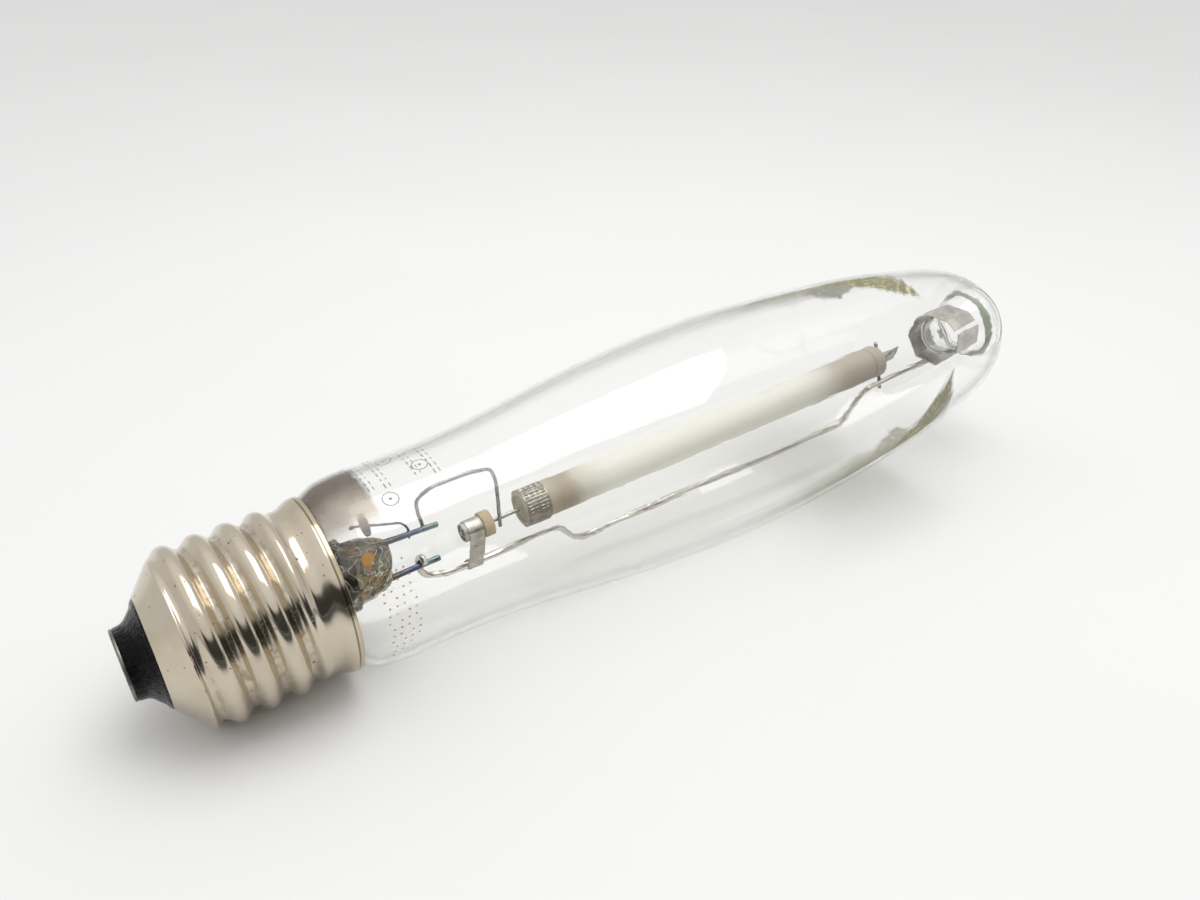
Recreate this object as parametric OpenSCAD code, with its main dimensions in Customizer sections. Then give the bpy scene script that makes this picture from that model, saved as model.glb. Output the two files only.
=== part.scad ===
// High-pressure sodium grow lamp: clear tubular-elliptical envelope on a mogul screw base,
// lying along X. Origin at the centre of the contact plate's outer face, +X towards the dome.

/* [Envelope] */
// Largest diameter of the glass envelope
bulb_d = 57; // [55:0.5:57.5]
// Distance from the contact face to the envelope's widest section
bulb_mid_x = 146; // [144:1:148]
// Wall thickness of the envelope glass
glass_t = 1.2; // [0.9:0.1:1.3]
// Radius of the dimple well on its air side
dimple_r = 5.4; // [5:0.1:5.6]

/* [Screw base] */
// Thread crest diameter of the mogul screw shell
crest_d = 39.2; // [39:0.05:39.5]
// Thread root diameter of the mogul screw shell
root_d = 35.6; // [35.4:0.05:36]
// Thread pitch, four turns to the inch
pitch = 6.35; // [6.35]
// Sheet thickness of the screw shell at its rim
shell_t = 0.4; // [0.3:0.05:0.5]
// Diameter of the centre contact plate
contact_d = 15.2; // [14:0.1:16]
// Diameter of the shell's opening round the insulator
opening_d = 24; // [23:0.5:25]

/* [Arc tube] */
// Outer diameter of the ceramic arc tube
arc_d = 8.7; // [8:0.1:9]
// Wall thickness of the ceramic arc tube
arc_t = 0.8; // [0.6:0.1:1]
// Distance from the contact face to the arc tube's base end
arc_x0 = 89.5; // [89:0.5:91]
// Length of the ceramic arc tube
arc_len = 114.5; // [112:0.5:115]
// Diameter of the niobium lead wire at the base end
niobium_d = 0.9; // [0.8:0.05:1]
// Outer diameter of the niobium tube at the dome end
niobium_tube_d = 2.9; // [2.6:0.1:3]

/* [Mount wires] */
// Diameter of the long frame rod
rod_d = 1.5; // [1.3:0.05:1.6]
// Height of the frame rod's long run beside the arc tube
rod_run = 19.9; // [19:0.1:20.5]
// Diameter of the two leads that come out of the stem
lead_d = 1.4; // [1.2:0.05:1.5]
// Diameter of the wire loop that feeds the base end
loop_d = 0.85; // [0.7:0.05:1]
// Angle of the wire frame's plane about the lamp's axis, from +Y towards +Z
mount_angle = -80; // [-90:1:-70]

/* [Hidden] */

$fn = 96;
eps = 0.01;
crest_r = crest_d / 2;
root_r = root_d / 2;
bulb_r = bulb_d / 2;
contact_r = contact_d / 2;
opening_r = opening_d / 2;
arc_r = arc_d / 2;
arc_bore = arc_r - arc_t;
rod_r = rod_d / 2;
lead_r = lead_d / 2;
loop_r = loop_d / 2;
niobium_r = niobium_d / 2;
tube_r = niobium_tube_d / 2;

// Screw shell, along the axis: opening, end of the nose cone, first and last full thread, rim
// crest_fullness above 1 makes the crests of the thread wider than its valleys
shell_x0 = 6;
cone_x1 = 12.4;
thread_x0 = 10.6;
thread_x1 = 33.4;
rim_x = 42.3;
rim_r = 19.7;
skirt_r = 18.3;
crest_at_zero = 13;
crest_fullness = 1.4;
plate_t = 0.7;
thread_fade = 3;
skirt_end_x = 37;
rim_start_x = 41;
shell_sides = 60;
shell_rows = 56;

// Neck and seal of the envelope inside the base
neck_end_x = 21;
flare_end_x = 47;
press_lobe_x = 53.4;
press_lobe_r = 3.3;

// Wires of the mount, in its own plane: [along the axis, across the plane, out of the plane]
upper_lead_end = [68.6, -4.2, 0];
upper_lead_root = [46, -5.6, 0];
lower_lead_end = [68.5, 6.2, 0];
lower_lead_root = [46, 7.1, 0];
arc_rho0 = 1.5;
arc_rho1 = 0.3;
arc_tilt = atan((arc_rho1 - arc_rho0) / arc_len);
bush_u = -15.2;
ferrule_r = 2.25;
ferrule_len = 4.7;
sleeve_r = 1.84;
flange_r = 3.1;
strap_t = 0.4;
strap_w = 3.9;
strap_x = 75.1;
strap_rho = arc_rho0 + 0.16;
rod_at_strap = 12.75;
behind = lead_r + loop_r;

rod_route = [[64.2, 4.6, -1.7], [64.2, 4.3, 0.2], [64, 5.4, 1.3], [63.8, 8.2, 1.5],
             [64.9, 11, 1.2], [68.3, 12.3, 0.4], [74, 12.6, 0], [86, 12.9, 0], [96.5, 12.6, 0],
             [100.2, 13.2, 0], [102.6, 15.7, 0], [105.1, 18.9, 0], [108.6, 20.2, 0],
             [116, 20, 0], [bulb_mid_x + 5, rod_run, 0], [190, rod_run, 0], [195.4, 19.5, 0],
             [198, 16.6, 0], [200.2, 12.8, 0], [203.4, 10.2, 0], [209, 9.7, 0],
             [218, 9.2, 0], [231, 8.8, 0]];

loop_route = [[65.6, -2.6, behind], [65.4, -4.9, behind], [64.5, -9.6, 0.7], [64.6, -13.2, 0.3],
              [66.4, -14.9, 0], [72.4, -15.6, 0], [79.2, -15.1, 0], [82, -14.1, 0],
              [83, -11.6, -0.2], [83.4, -7, -0.5], [83.6, 0.6, -niobium_r - loop_r],
              [83.8, 3.4, -niobium_r - loop_r]];

getter_route = [[48.8, -14.3, -1.5], [51.2, -13.7, -1.45], [53.8, -11.9, -0.7], [57.8, -9.3, 0.5],
                [60.6, -7.6, 0.9], [61.9, -5.4, 1], [62.1, -2.3, 1]];

centre_wire_route = [[45, 0, 0], [34, 1.2, 0.8], [22, 1, -0.6], [12, 0.3, 0.2], [5, 0, 0], [1.2, 0, 0]];

side_wire_route = [[45, 4, 1.5], [32, 8, 2], [21, 13.4, 4.6], [18.6, 15.8, 5.4], [21, 16.1, 5.5],
                   [30, 16.3, 5.6], [38, 17.5, 6]];

// Outline of the envelope's air side, [along the axis, radius], neck to the bottom of the dimple
bulb_outline = [[neck_end_x, 15.2], [28, 15.5], [34, 16], [38, 17], [41, 18.4], [43.2, 19.5],
                [46, 20.9], [50, 21.6], [60, 21.7], [72, 22], [88, 23.4], [104, 25.5],
                [122, 27.3], [bulb_mid_x, bulb_r], [168, 27.75], [184, 26.7], [200, 25.1],
                [212, 23.2], [222, 21.3], [230, 19.3], [236, 16.7], [240, 13.9], [242.3, 12],
                [243.5, 10.6], [242.8, 9.7], [240.9, 8.9], [238.5, 7.9], [236, 6.5],
                [233.5, dimple_r + 0.2], [230.5, dimple_r], [228.3, dimple_r - 1.3], [227.8, 2], [227.7, 0]];

// Corners of the dimple clip's strap, going round the glass well from one end of the split
clip_outline = [[-9.4, 4.9], [-9.3, -1], [-2.7, -7.9], [4.9, -7.8], [8.4, -1.7], [5.7, 4.9],
                [1.6, 7.3], [-5.5, 7.5], [-8.1, 5.5]];
clip_t = 0.4;
clip_w = 8.6;
clip_x = 225.9;
clip_z = -0.4;

// ---------- curves ----------

function unit(v) = v / norm(v);

// Direction of a smooth curve at its point i
function heading(p, i) =
    i == 0 ? unit(p[1] - p[0]) :
    i == len(p) - 1 ? unit(p[i] - p[i - 1]) :
    unit(unit(p[i] - p[i - 1]) * norm(p[i + 1] - p[i]) + unit(p[i + 1] - p[i]) * norm(p[i] - p[i - 1]));

function between(a, b, da, db, u) =
    let (d = norm(b - a))
    (2 * u ^ 3 - 3 * u ^ 2 + 1) * a + (u ^ 3 - 2 * u ^ 2 + u) * d * da
    + (3 * u ^ 2 - 2 * u ^ 3) * b + (u ^ 3 - u ^ 2) * d * db;

// Points of the smooth curve through p, with a number of steps in each span
function smooth(p, steps) = concat(
    [for (i = [0 : len(p) - 2], k = [0 : steps - 1])
        between(p[i], p[i + 1], heading(p, i), heading(p, i + 1), k / steps)],
    [p[len(p) - 1]]);

// The curve c moved sideways by d, to its right
function beside(c, d) = [for (i = [0 : len(c) - 1])
    let (h = heading(c, i)) c[i] + d * [h[1], -h[0]]];

// Normals that follow a route without twisting
function flat_part(v, h) = unit(v - (v * h) * h);
function normals(c, first) = [
    for (i = 0, n = flat_part(first, heading(c, 0)); i < len(c);
         i = i + 1, n = i < len(c) ? flat_part(n, heading(c, i)) : n) n];

// ---------- shapes ----------

// Solid of revolution about X from an outline of [along the axis, radius] points
module turned(outline) {
    rotate([0, 90, 0]) rotate_extrude() polygon([for (p = outline) [p[1], p[0]]]);
}

// Round wire along a route, with rounded routes given as points
module wire(route, r, sides = 10, steps = 4) {
    c = smooth(route, steps);
    n = normals(c, [0.31, 0.22, 0.92]);
    rows = len(c);
    points = [for (i = [0 : rows - 1], k = [0 : sides - 1])
        let (h = heading(c, i), a = 360 * k / sides)
        c[i] + r * (cos(a) * n[i] + sin(a) * cross(h, n[i]))];
    skin = [for (i = [0 : rows - 2], k = [0 : sides - 1])
        let (m = (k + 1) % sides)
        [i * sides + k, (i + 1) * sides + k, (i + 1) * sides + m, i * sides + m]];
    start = [for (k = [0 : sides - 1]) k];
    finish = [for (k = [sides - 1 : -1 : 0]) (rows - 1) * sides + k];
    polyhedron(points = points, faces = concat([start], skin, [finish]));
}

// Straight round bar from a to b
module bar(a, b, r) {
    d = b - a;
    translate(a) rotate([0, acos(d[2] / norm(d)), atan2(d[1], d[0])]) cylinder(r = r, h = norm(d), $fn = 32);
}

// Plane of the wire frame
module in_mount() rotate([mount_angle, 0, 0]) children();

// Frame of the arc tube: origin at the centre of its base end, +X along it
module in_arc() in_mount() translate([arc_x0, arc_rho0, 0]) rotate([0, 0, arc_tilt]) children();

// Cylinder along X from x0 to x1
module along(x0, x1, r, fn = 48) translate([x0, 0, 0]) rotate([0, 90, 0]) cylinder(r = r, h = x1 - x0, $fn = fn);

// ---------- screw base ----------

module contact_plate() color("gainsboro") turned([
    [0, 1.7], [0, contact_r - 0.6], [0.12, contact_r - 0.15], [0.35, contact_r], [plate_t, contact_r],
    [plate_t, 1.7]]);

module contact_solder() color("silver") turned([
    [0, 0], [0, 1.7], [plate_t, 1.7], [plate_t, 2.3], [1.2, 1.9], [1.9, 0.9], [2, 0]]);

// Black glass insulator between the contact plate and the shell
module insulator() color("black") difference() {
    turned([[plate_t, 0], [plate_t, contact_r], [1.5, contact_r + 0.12],
            [2.3, contact_r + 0.2], [3.4, contact_r + 0.9], [4.9, contact_r + 2.6],
            [6, opening_r - 0.15], [6.6, opening_r - 0.15], [7.2, opening_r + 1],
            [8.6, opening_r + 1.2], [9.4, opening_r], [9.4, 0]]);
    along(0, 10, 2.4);
}

// Height of the thread wave at x and angle a, from -1 at the root to 1 at the crest
function thread_wave(x, a) =
    let (w = cos(360 * (x - crest_at_zero - pitch * a / 360) / pitch))
    1 - 2 * ((1 - w) / 2) ^ crest_fullness;
function ramp(x, x0, x1) = max(0, min(1, (x - x0) / (x1 - x0)));
function blend(t) = t * t * (3 - 2 * t);

// Outer radius of the shell without its thread
function shell_body(x) =
    x < cone_x1 ? opening_r + (x - shell_x0) * (crest_r - opening_r) / (cone_x1 - shell_x0)
    : skirt_r + (rim_r - skirt_r) * blend(ramp(x, skirt_end_x, rim_start_x));

// Outer radius of the shell at x and angle a
function shell_radius(x, a) =
    let (mean = (crest_r + root_r) / 2,
         threaded = mean + (crest_r - root_r) / 2 * thread_wave(x, a),
         t = 1 - blend(ramp(x, thread_x1, thread_x1 + thread_fade)))
    x < cone_x1 ? min(shell_body(x), max(threaded, x < thread_x0 ? crest_r : threaded))
    : t * threaded + (1 - t) * shell_body(x);

function shell_row_x(i) = shell_x0 + 0.5 + (rim_x - shell_x0 - 1) * i / (shell_rows - 1);

module screw_shell() color([0.82, 0.76, 0.64]) {
    inner = [[rim_x - 0.5, rim_r - shell_t], [37.5, skirt_r - shell_t - 0.1],
             [36, root_r - shell_t], [13.4, root_r - shell_t], [shell_x0 + 0.6, opening_r + 0.1]];
    rows = concat(
        [[shell_x0, 0, opening_r + 0.1]],
        [for (i = [0 : shell_rows - 1]) [shell_row_x(i), 1, 0]],
        [[rim_x, 0, rim_r + 0.05], [rim_x, 0, rim_r - shell_t + 0.1]],
        [for (p = inner) [p[0], 0, p[1]]]);
    count = len(rows);
    points = [for (row = rows, k = [0 : shell_sides - 1])
        let (a = 360 * k / shell_sides, r = row[1] == 1 ? shell_radius(row[0], a) : row[2])
        [row[0], r * cos(a), r * sin(a)]];
    faces = [for (i = [0 : count - 1], k = [0 : shell_sides - 1], half = [0, 1])
        let (j = (i + 1) % count, m = (k + 1) % shell_sides,
             p = i * shell_sides, q = j * shell_sides)
        half == 0 ? [p + k, q + k, q + m] : [p + k, q + m, p + m]];
    polyhedron(points = points, faces = faces);
}

// Spot of solder that holds the side wire to the shell's rim
module shell_solder() color("silver") in_mount()
    intersection() {
        translate([rim_x - 2.2, rim_r * cos(20), rim_r * sin(20)]) sphere(r = 2.4, $fn = 32);
        translate([rim_x - 6, 0, 0]) rotate([0, 90, 0]) difference() {
            cylinder(r = rim_r + 0.7, h = 8);
            translate([0, 0, -1]) cylinder(r = skirt_r - 0.2, h = 10);
        }
    }

// Ring of cement between the shell and the neck
module base_cement() color("tan") turned([
    [24, 15.45 + eps], [24, root_r - shell_t - eps], [35.8, root_r - shell_t - eps],
    [35.8, 16.5], [33.5, 16.1], [28, 15.6], [26, 15.5]]);

module centre_wire() color("silver") in_mount() wire(centre_wire_route, 0.4, 8);

module side_wire() color("silver") in_mount() wire(side_wire_route, 0.35, 8);

// ---------- envelope and stem ----------

module outer_bulb() color("honeydew", 0.3) {
    air_side = smooth(bulb_outline, 5);
    vacuum_side = beside(air_side, glass_t);
    last = len(vacuum_side) - 1;
    turned(concat(air_side, [[air_side[last][0] - glass_t, 0]],
                  [for (i = [last - 1 : -1 : 0]) [vacuum_side[i][0], max(5 * eps, vacuum_side[i][1])]]));
}

// Flare that is fused to the neck, and the flat press that holds the leads
module stem() color("darkolivegreen", 0.6) {
    difference() {
        turned([[neck_end_x, 15.1 - glass_t], [23, 13.9 - glass_t], [28, 10.4], [34, 8.6], [41, 8.2],
                [flare_end_x, 8.3], [flare_end_x, 0], [45, 0], [41, 6.2], [34, 7.2], [28, 9], [23, 12.4 - glass_t],
                [neck_end_x, 13.6 - glass_t]]);
        along(neck_end_x - 1, flare_end_x - 0.6, 3.2);
    }
    in_mount() hull() {
        translate([flare_end_x - 1, 0, 0]) scale([1, 1, 0.75]) rotate([0, 90, 0]) cylinder(r = 8.2, h = 1, $fn = 40);
        for (s = [-1, 1]) translate([press_lobe_x, s * 4.6 + 0.7, 0]) sphere(r = press_lobe_r, $fn = 24);
    }
}

module exhaust_tube() color("honeydew", 0.5) difference() {
    turned([[11.5, 0], [11.8, 0.9], [13.5, 1.9], [16, 2.6], [46.4, 2.6], [46.4, 0]]);
    turned([[14, 0], [16.5, 1.6], [45, 1.6], [45, 0]]);
}

module upper_lead() color("slategray") in_mount() bar(upper_lead_root, upper_lead_end, lead_r);

module lower_lead() color("slategray") in_mount() bar(lower_lead_root, lower_lead_end, lead_r);

// ---------- getter and base-end wiring ----------

module getter_wire() color("dimgray") in_mount() wire(getter_route, 0.27, 8);

// Open channel ring that carried the barium, seen from its edge
module getter_ring() color("dimgray") in_mount() translate([52.3, -12.1, 0.1]) rotate([0, 108, -20])
    rotate_extrude($fn = 40) translate([1.9, 0]) square([0.9, 0.7], center = true);

module conductor_loop() color("gray") in_mount() wire(loop_route, loop_r, 10);

module frame_rod() color("gray") in_mount() wire(rod_route, rod_r, 12);

// ---------- sliding bush at the base end ----------

// Strap that wraps the ferrule and clamps the frame rod
module bush_strap() color("silver") in_mount() translate([strap_x, 0, 0]) rotate([90, 0, 90]) {
    wrap_r = ferrule_r + strap_t;
    linear_extrude(strap_w) {
        translate([strap_rho, 0]) difference() {
            circle(r = wrap_r, $fn = 64);
            circle(r = ferrule_r, $fn = 64);
        }
        translate([strap_rho + 1.2, -wrap_r]) square([12.9 - strap_rho, strap_t]);
        translate([strap_rho + 2.4, -ferrule_r]) square([1.2, strap_t]);
    }
    translate([rod_at_strap, -1.55, strap_t]) linear_extrude(strap_w - 2 * strap_t)
        square([1.3, 1.6], center = true);
}

module bush_ferrule() color("silver") in_arc() difference() {
    along(bush_u, bush_u + ferrule_len, ferrule_r);
    along(bush_u - 1, bush_u + ferrule_len + 1, sleeve_r + eps);
}

// Ceramic bush with a flange, bored for the niobium lead
module ceramic_bush() color("tan") in_arc() difference() {
    union() {
        along(bush_u + 0.4, bush_u + ferrule_len + 0.05, sleeve_r);
        along(bush_u + ferrule_len, bush_u + 7.3, flange_r);
    }
    along(bush_u - 1, bush_u + 8, niobium_r + 0.1, 32);
}

module niobium_lead() color("silver") in_arc() along(bush_u - 0.3, 2.2, niobium_r, 32);

// ---------- arc tube ----------

module arc_tube() color("ivory", 0.8) in_arc() rotate([0, 90, 0]) difference() {
    union() {
        translate([0, 0, 0.5]) cylinder(r = arc_r, h = arc_len - 1);
        for (z = [0, arc_len - 0.5]) translate([0, 0, z]) cylinder(r = arc_r - 0.35, h = 0.5);
    }
    translate([0, 0, -1]) cylinder(r = arc_bore, h = arc_len + 2);
}

module end_plug(u0, u1, bore) color("ivory") in_arc() difference() {
    along(u0, u1, arc_bore);
    along(u0 - 1, u1 + 1, bore, 32);
}

module base_end_plug() end_plug(0.4, 6, niobium_r + 0.02);
module dome_end_plug() end_plug(arc_len - 6, arc_len - 0.4, tube_r + 0.02);

// Tungsten rod with rings of coil near its tip; the tip is u_tip, the root u_root
module electrode(u_root, u_tip) color("dimgray") in_arc()
    along(min(u_root, u_tip), max(u_root, u_tip), 0.45, 24);

// Turns of tungsten wire round an electrode, between two places along it
module coil(u0, u1) color("dimgray") in_arc() for (u = [u0 : 0.75 : u1])
    translate([u, 0, 0]) rotate([0, 90, 0]) rotate_extrude($fn = 32) translate([0.8, 0]) circle(r = 0.36, $fn = 16);

module base_electrode() electrode(2.2, 12.5);
module base_coil() coil(8, 11.4);
module dome_electrode() electrode(arc_len - 2.2, arc_len - 12.5);
module dome_coil() coil(arc_len - 11.4, arc_len - 8);

// Foil band that keeps the base end hot
module heat_band() color("olivedrab") in_arc() difference() {
    along(0.9, 6, arc_r + 0.2, 64);
    along(0, 7, arc_r + 0.02, 64);
}

// Niobium tube, pinched flat and flared at its free end
module niobium_tube() color("silver") in_arc() {
    difference() {
        along(arc_len - 4, arc_len + 3.5, tube_r, 40);
        along(arc_len - 5, arc_len + 3, tube_r - 0.3, 40);
    }
    hull() {
        along(arc_len + 3, arc_len + 3.5, tube_r, 24);
        translate([arc_len + 8, 0, 0]) rotate([0, 90, 18]) scale([0.28, 1, 1]) cylinder(r = 1.9, h = 0.4, $fn = 24);
    }
}

module cross_wire() color("gray") in_mount()
    bar([204.4, -4.4, tube_r + 0.45], [210.6, 13, rod_r + 0.45], 0.5);

// ---------- dome support ----------

// Strap bent round the glass well, split at one side, leaning a little with the frame rod
module dimple_clip() color("gray") translate([clip_x, 0, clip_z]) rotate([0, -4, 2]) rotate([90, 0, 90])
    linear_extrude(clip_w) {
        inner = [for (i = [0 : len(clip_outline) - 1])
            clip_outline[i] - clip_t * unit(clip_outline[i])];
        for (i = [0 : len(clip_outline) - 2])
            polygon([clip_outline[i], clip_outline[i + 1], inner[i + 1], inner[i]]);
    }

contact_plate();
contact_solder();
insulator();
screw_shell();
shell_solder();
base_cement();
centre_wire();
side_wire();
outer_bulb();
stem();
exhaust_tube();
upper_lead();
lower_lead();
getter_wire();
getter_ring();
conductor_loop();
frame_rod();
bush_strap();
bush_ferrule();
ceramic_bush();
niobium_lead();
base_end_plug();
base_electrode();
base_coil();
arc_tube();
heat_band();
dome_electrode();
dome_coil();
dome_end_plug();
niobium_tube();
cross_wire();
dimple_clip();
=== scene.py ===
"""Looks for the high-pressure sodium grow lamp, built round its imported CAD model.

Lengths in this script are millimetres until a mesh is made, and the mesh is in metres.
X runs from the contact plate to the dome. The wire frame lies in a plane of its own,
where a point is (along the axis, across the plane, out of the plane).
"""

import math

import bmesh
import bpy
import numpy as np
from mathutils import Matrix, Vector, noise


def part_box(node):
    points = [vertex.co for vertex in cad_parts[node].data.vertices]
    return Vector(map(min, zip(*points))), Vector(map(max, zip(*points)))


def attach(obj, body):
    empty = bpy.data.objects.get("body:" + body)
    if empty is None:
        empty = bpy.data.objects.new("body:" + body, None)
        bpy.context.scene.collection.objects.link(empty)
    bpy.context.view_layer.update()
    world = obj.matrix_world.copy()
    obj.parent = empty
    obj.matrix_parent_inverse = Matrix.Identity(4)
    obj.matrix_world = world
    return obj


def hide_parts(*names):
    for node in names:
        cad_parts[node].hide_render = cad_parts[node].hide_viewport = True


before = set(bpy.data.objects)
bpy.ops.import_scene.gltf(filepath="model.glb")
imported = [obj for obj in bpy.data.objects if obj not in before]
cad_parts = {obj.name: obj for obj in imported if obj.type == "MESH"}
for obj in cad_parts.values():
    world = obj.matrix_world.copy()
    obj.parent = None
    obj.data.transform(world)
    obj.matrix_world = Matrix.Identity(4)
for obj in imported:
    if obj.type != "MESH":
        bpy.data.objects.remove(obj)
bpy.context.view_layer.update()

MM = 0.001
BODY = "root"
TAU = 2 * math.pi


def node_box(name):
    """Lowest and highest corner of a CAD node in millimetres."""
    low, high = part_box(name)
    return np.array(low) / MM, np.array(high) / MM


# ---------- driving sizes, from the frame ----------

BULB_LOW, BULB_HIGH = node_box("outer_bulb")
SHELL_LOW, SHELL_HIGH = node_box("screw_shell")
PLATE_R = node_box("contact_plate")[1][1]

BULB_R = BULB_HIGH[1]
GLASS_T = 1.2
NECK_END_X = BULB_LOW[0]
DIMPLE_R = 5.4
RIM_X = SHELL_HIGH[0]
OPENING_X = SHELL_LOW[0]
CREST_R = 19.6
ROOT_R = 17.8
PITCH = 6.35
CREST_FULLNESS = 1.4
CONE_X = 12.4
OPENING_R = 12.0
RIM_R = 19.7
SKIRT_R = 18.3
SHELL_T = 0.4
PLATE_T = 0.7
MOUNT_ANGLE = math.radians(-80)
LEAD_R = 0.7
LOOP_R = 0.425
ROD_R = 0.75
ROD_RUN = 19.9
NIOBIUM_R = 0.45
TUBE_R = 1.45
ARC_R = 4.35
ARC_X0 = 89.5
ARC_LEN = 114.5
ARC_RHO = 1.5
ARC_TILT = math.atan(-1.2 / ARC_LEN)
BUSH_U = -15.2
FERRULE_R = 2.25
FERRULE_LEN = 4.7
BEHIND = LEAD_R + LOOP_R
RING_X = 239.3
FLOOR_EDGE = -0.06
WALL_STEPS = 7
FILM_DEPTH = -0.06
MARK_LIFT = 0.03
DOME_FILM_X0, DOME_FILM_X1 = 168, 211


# ---------- curves ----------

def unit(v):
    """v at length 1."""
    return v / np.linalg.norm(v)


def headings(p):
    """Direction of a smooth curve at each of its points."""
    steps = np.diff(p, axis=0)
    lengths = np.linalg.norm(steps, axis=1)[:, None]
    ways = steps / lengths
    inner = ways[:-1] * lengths[1:] + ways[1:] * lengths[:-1]
    inner /= np.linalg.norm(inner, axis=1)[:, None]
    return np.vstack([ways[:1], inner, ways[-1:]])


def smooth(points, steps):
    """Points of the smooth curve through the given ones, with a number of steps in each span."""
    p = np.array(points, float)
    h = headings(p)
    u = (np.arange(steps) / steps)[:, None]
    spans = []
    for a, b, da, db in zip(p[:-1], p[1:], h[:-1], h[1:]):
        d = np.linalg.norm(b - a)
        spans.append((2 * u**3 - 3 * u**2 + 1) * a + (u**3 - 2 * u**2 + u) * d * da
                     + (3 * u**2 - 2 * u**3) * b + (u**3 - u**2) * d * db)
    return np.vstack(spans + [p[-1:]])


def beside(curve, distance):
    """A flat curve moved sideways, to its right."""
    h = headings(curve)
    return curve + distance * np.stack([h[:, 1], -h[:, 0]], 1)


def bent(points, radius, steps=6):
    """A line of straight stretches with an arc at each corner."""
    p = np.array(points, float)
    out = [p[0]]
    for a, b, c in zip(p[:-2], p[1:-1], p[2:]):
        to_a, to_c = unit(a - b), unit(c - b)
        half = math.acos(np.clip(to_a @ to_c, -1, 1)) / 2
        reach = min(radius / math.tan(half), 0.48 * min(np.linalg.norm(a - b), np.linalg.norm(c - b)))
        start, end = b + reach * to_a, b + reach * to_c
        for k in range(steps + 1):
            t = k / steps
            out.append((1 - t)**2 * start + 2 * t * (1 - t) * b + t**2 * end)
    out.append(p[-1])
    return np.array(out)


def around(sides):
    """Even angles round a circle, in radians."""
    return np.arange(sides) / sides * TAU


def ring_at(x, r, a):
    """Ring about the X axis, with its points at the angles a."""
    return np.stack([np.full(len(a), x), r * np.cos(a), r * np.sin(a)], 1)


def circle(r, sides):
    """Corners of a round section."""
    return ring_at(0.0, r, around(sides))[:, 1:]


def strip_section(width, thickness, edge=0.12, steps=3):
    """Section of sheet metal with softened edges, its middle at the origin."""
    corners = []
    for sx, sy, a0 in ((1, 1, 0), (-1, 1, 1), (-1, -1, 2), (1, -1, 3)):
        for k in range(steps + 1):
            a = (a0 + k / steps) * TAU / 4
            corners.append((sx * (width / 2 - edge) + edge * math.cos(a),
                            sy * (thickness / 2 - edge) + edge * math.sin(a)))
    return np.array(corners)


def turn(points, axis, angle):
    """Points turned about an axis through the origin, in radians."""
    m = np.array(Matrix.Rotation(angle, 3, Vector(axis)))
    return np.asarray(points) @ m.T


def in_mount(points):
    """From the wire frame's plane to the lamp's own frame."""
    return turn(points, (1, 0, 0), MOUNT_ANGLE)


def mounted(parts):
    """Mesh parts moved from the wire frame's plane to the lamp's own frame."""
    return [(in_mount(points), faces) for points, faces in parts]


def in_arc(points):
    """From the arc tube's frame, with its origin at the centre of the base end."""
    return in_mount(turn(points, (0, 0, 1), ARC_TILT) + np.array([ARC_X0, ARC_RHO, 0]))


# ---------- meshes ----------

def rings_part(rings, closed=False, caps=True):
    """Skin over rings of equal size. closed joins the last ring to the first."""
    rings = np.asarray(rings, float)
    rows, sides = rings.shape[:2]
    faces = []
    for i in range(rows if closed else rows - 1):
        j = (i + 1) % rows
        for k in range(sides):
            m = (k + 1) % sides
            faces.append((i * sides + k, i * sides + m, j * sides + m, j * sides + k))
    if caps and not closed:
        faces.append(tuple(range(sides - 1, -1, -1)))
        faces.append(tuple((rows - 1) * sides + k for k in range(sides)))
    return rings.reshape(-1, 3), faces


def turned_part(outline, sides, closed=True):
    """Solid of revolution about X from (along the axis, radius) points."""
    ring = ring_at(0.0, 1.0, around(sides))
    rings = [np.array([x, 0, 0]) + max(r, 0) * ring for x, r in outline]
    return rings_part(rings, closed=closed, caps=False)


def sweep_rings(path, section, up=None, first=(0.31, 0.22, 0.92)):
    """Rings of a section carried along a path. With up, the section's first axis stays along it."""
    h = headings(path)
    n = unit(np.array(up if up is not None else first, float))
    rings = []
    for point, way in zip(path, h):
        n = unit(n - (n @ way) * way)
        side = np.cross(way, n)
        rings.append(point + section[:, :1] * n + section[:, 1:] * side)
        if up is not None:
            n = np.array(up, float)
    return rings


def wire_part(path, r, sides=24, edge=0.3):
    """Round wire with softly rounded cut ends."""
    rings = sweep_rings(path, circle(r, sides))
    h = headings(path)
    start = [path[0] + (ring - path[0]) * s + h[0] * r * d
             for ring, s, d in ((rings[0], 0.55, -0.02), (rings[0], 0.86, 0.05))]
    finish = [path[-1] + (ring - path[-1]) * s - h[-1] * r * d
              for ring, s, d in ((rings[-1], 0.86, 0.05), (rings[-1], 0.55, -0.02))]
    rings[0] = rings[0] + h[0] * r * edge
    rings[-1] = rings[-1] - h[-1] * r * edge
    return rings_part(start + rings + finish)


def blob_part(centre, radii, seed=0.0, lumps=0.18, detail=3):
    """A small lump of melted metal."""
    bm = bmesh.new()
    bmesh.ops.create_icosphere(bm, subdivisions=detail, radius=1)
    points = []
    for v in bm.verts:
        swell = 1 + lumps * noise.noise(v.co * 1.3 + Vector((seed, 2 * seed, 0)))
        points.append(np.array(v.co) * np.array(radii) * swell + np.array(centre))
    faces = [tuple(v.index for v in f.verts) for f in bm.faces]
    bm.free()
    return np.array(points), faces


def ripple(points, amount, size, seed=0.0):
    """Points pushed about a little by a soft noise of the given size."""
    out = []
    for p in points:
        at = Vector(p) / size + Vector((seed, seed, seed))
        out.append(p + amount * np.array(noise.noise_vector(at)))
    return np.array(out)


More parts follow.
